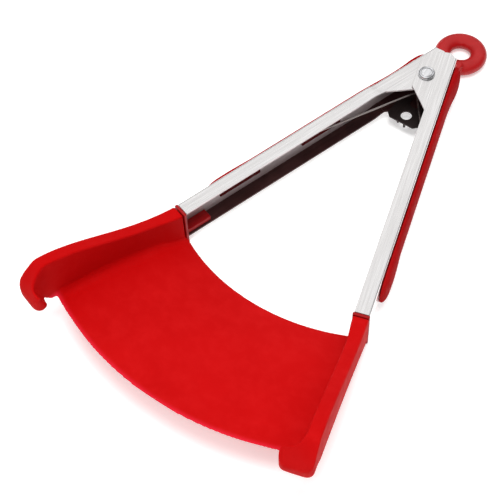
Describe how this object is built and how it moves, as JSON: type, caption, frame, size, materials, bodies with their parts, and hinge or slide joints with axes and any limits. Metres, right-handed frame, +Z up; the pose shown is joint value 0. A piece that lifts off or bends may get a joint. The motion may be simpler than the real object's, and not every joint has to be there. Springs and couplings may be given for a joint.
{
  "type": "spring loaded kitchen tongs",
  "caption": "Spring loaded tongs with channel arms, silicone jaws, a fan shaped spatula blade on one jaw, and a pull ring lock.",
  "frame": {"origin": "on the surface that the tongs lie on, under the middle of their outline with the arms open", "axes": "+Y from the jaws to the pull ring along the middle line, +Z up along the pivot rivet, +X towards the right arm"},
  "size_m": [0.184, 0.3198, 0.0536],
  "materials": {
    "arm_steel": "polished stainless steel",
    "slide_steel": "brushed stainless steel",
    "rivet_steel": "polished",
    "spring_steel": "drawn wire",
    "jaw_silicone": "satin silicone",
    "grip_rubber": "matt silicone",
    "core_nylon": "moulded nylon",
    "ring_rubber": "satin silicone"
  },
  "bodies": {
    "pivot": {"pivot_rivet": "rivet_steel", "torsion_spring": "spring_steel"},
    "left_arm": {"left_arm": "arm_steel", "left_grip": "grip_rubber", "left_jaw_core": "core_nylon", "left_jaw_and_blade": "jaw_silicone"},
    "right_arm": {"right_arm": "arm_steel", "right_grip": "grip_rubber", "right_jaw_core": "core_nylon", "right_jaw": "jaw_silicone"},
    "lock": {"lock_slide": "slide_steel", "pull_ring": "ring_rubber"}
  },
  "joints": [
    {"name": "left_squeeze", "type": "hinge", "parent": "pivot", "child": "left_arm", "pos_m": [0, 0.1006, 0.0154], "axis": [0, 0, 1], "range_deg": [0, 16.1], "stiffness_Nm_per_rad": 1, "springref_deg": -5.73, "deforming": ["torsion_spring"]},
    {"name": "right_squeeze", "type": "hinge", "parent": "pivot", "child": "right_arm", "pos_m": [0, 0.1006, 0.0154], "axis": [0, 0, 1], "range_deg": [-16.1, 0]},
    {"name": "lock_pull", "type": "slide", "parent": "pivot", "child": "lock", "axis": [0, 1, 0], "range_m": [0, 0.009]}
  ],
  "couplings": [
    {"joint": "right_squeeze", "follows": "left_squeeze", "ratio": -1}
  ]
}
